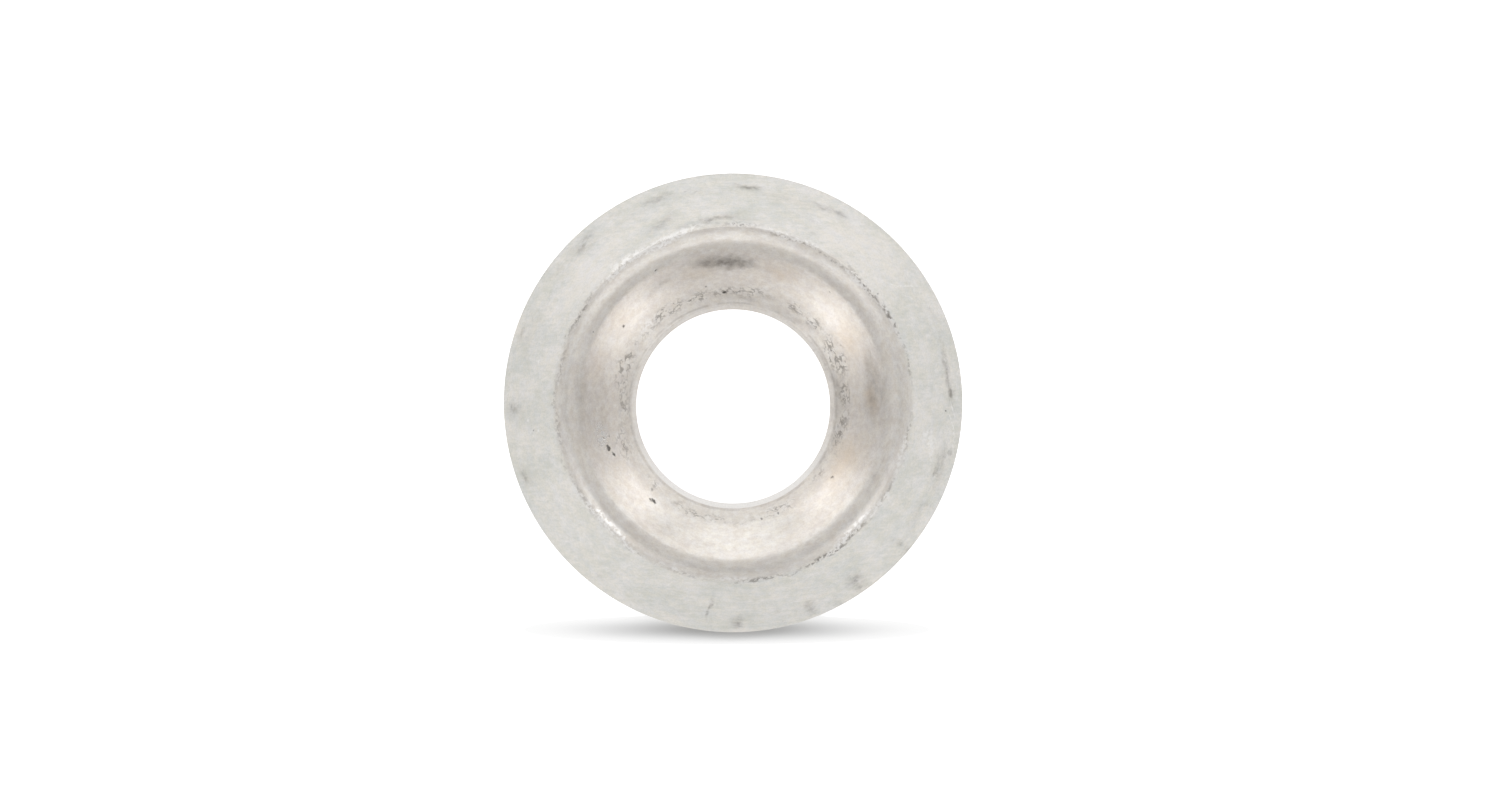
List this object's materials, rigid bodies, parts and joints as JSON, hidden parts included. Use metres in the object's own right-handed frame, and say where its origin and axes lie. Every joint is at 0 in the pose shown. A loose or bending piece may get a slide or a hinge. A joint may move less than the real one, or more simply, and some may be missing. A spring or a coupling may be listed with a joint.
{
  "type": "conical washer",
  "caption": "Pressed sheet-metal conical washer: a sloping skirt rises to a round crown that falls as a funnel to the screw hole.",
  "frame": {"origin": "on the washer's axis, level with the foot of the rim that it stands on", "axes": "+Z along the axis, out of the face that the screw head meets; +Y is the top of the picture; the hole sits 0.17 mm off the axis towards -Y"},
  "size_m": [0.022, 0.022, 0.0021],
  "materials": {
    "washer_metal": "satin, tumbled after pressing"
  },
  "bodies": {
    "root": {"conical_washer": "washer_metal"}
  },
  "joints": []
}
